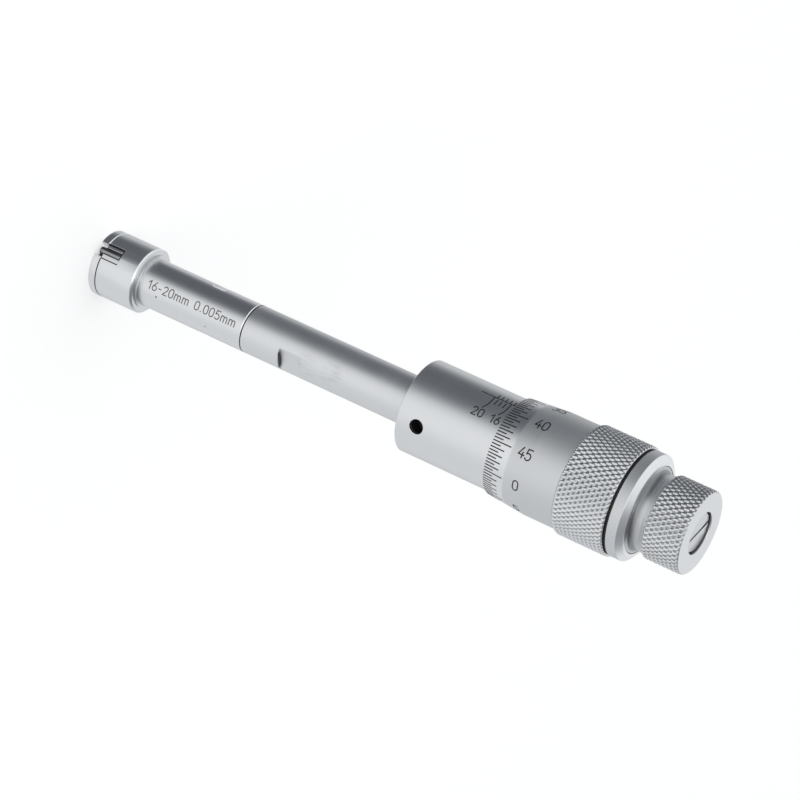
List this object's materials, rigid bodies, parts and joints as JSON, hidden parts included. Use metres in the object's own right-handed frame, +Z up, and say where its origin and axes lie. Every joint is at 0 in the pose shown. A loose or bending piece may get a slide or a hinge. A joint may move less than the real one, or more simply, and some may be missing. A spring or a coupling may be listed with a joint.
{
  "type": "inside micrometer",
  "caption": "Inside micrometer for small bores: a head with spreading anvils on a slim barrel, a line scale sleeve, a numbered thimble and a ratchet knob.",
  "frame": {"origin": "on the table, in the middle of the measuring face that the instrument stands on", "axes": "+Z up along the instrument from the measuring head to the ratchet knob, -Y the side with the scale's base line and the engraved range; it stands on its head because on its side it would roll"},
  "size_m": [0.0248, 0.0248, 0.1501],
  "materials": {
    "ground_steel": "satin",
    "hardened_steel": "ground",
    "satin_chrome": "satin",
    "carbide": "polished",
    "bronze": "satin",
    "spring_steel": "satin",
    "screw_steel": "ground",
    "black_ring": "matt"
  },
  "bodies": {
    "body": {"front_plate": "ground_steel", "plate_screws": "hardened_steel", "head_body": "ground_steel", "guide_bush": "bronze", "return_spring": "spring_steel", "front_barrel": "ground_steel", "main_barrel": "ground_steel", "push_rod_guides": "bronze", "inner_body": "ground_steel", "adjusting_nut": "ground_steel", "scale_sleeve": "satin_chrome"},
    "push_train": {"cone": "hardened_steel", "stem_cap": "hardened_steel", "push_rod": "hardened_steel", "bearing_ball": "hardened_steel"},
    "screw_and_thimble": {"spindle": "hardened_steel", "thimble": "satin_chrome", "thimble_nut": "ground_steel", "sealing_ring": "black_ring", "thimble_cap": "satin_chrome", "ratchet_drive_ring": "hardened_steel", "ratchet_screw": "screw_steel"},
    "ratchet": {"ratchet_knob": "satin_chrome", "ratchet_slip_ring": "hardened_steel", "ratchet_spring": "spring_steel"},
    "jaw_1": {"anvil_1": "hardened_steel", "contact_pin_1": "carbide"},
    "jaw_2": {"anvil_2": "hardened_steel", "contact_pin_2": "carbide"},
    "jaw_3": {"anvil_3": "hardened_steel", "contact_pin_3": "carbide"}
  },
  "joints": [
    {"name": "cone_travel", "type": "slide", "parent": "body", "child": "push_train", "axis": [0, 0, -1], "range_m": [-0.00008, 0.00517], "deforming": ["return_spring"]},
    {"name": "thimble_turn", "type": "hinge", "parent": "push_train", "child": "screw_and_thimble", "pos_m": [0, 0, 0.10492], "axis": [0, 0, -1], "range_deg": [-57.61, 3722.41]},
    {"name": "ratchet_turn", "type": "hinge", "parent": "screw_and_thimble", "child": "ratchet", "pos_m": [0, 0, 0.1415], "axis": [0, 0, -1], "continuous": true},
    {"name": "jaw_1_slide", "type": "slide", "parent": "body", "child": "jaw_1", "axis": [0.5592, -0.829, 0], "range_m": [-0.00004, 0.00259]},
    {"name": "jaw_2_slide", "type": "slide", "parent": "body", "child": "jaw_2", "axis": [0.4384, 0.8988, 0], "range_m": [-0.00004, 0.00259]},
    {"name": "jaw_3_slide", "type": "slide", "parent": "body", "child": "jaw_3", "axis": [-0.9976, -0.0698, 0], "range_m": [-0.00004, 0.00259]}
  ],
  "couplings": [
    {"joint": "thimble_turn", "follows": "cone_travel", "rad_per_m": 12566},
    {"joint": "jaw_1_slide", "follows": "cone_travel", "ratio": 0.5},
    {"joint": "jaw_2_slide", "follows": "cone_travel", "ratio": 0.5},
    {"joint": "jaw_3_slide", "follows": "cone_travel", "ratio": 0.5}
  ]
}
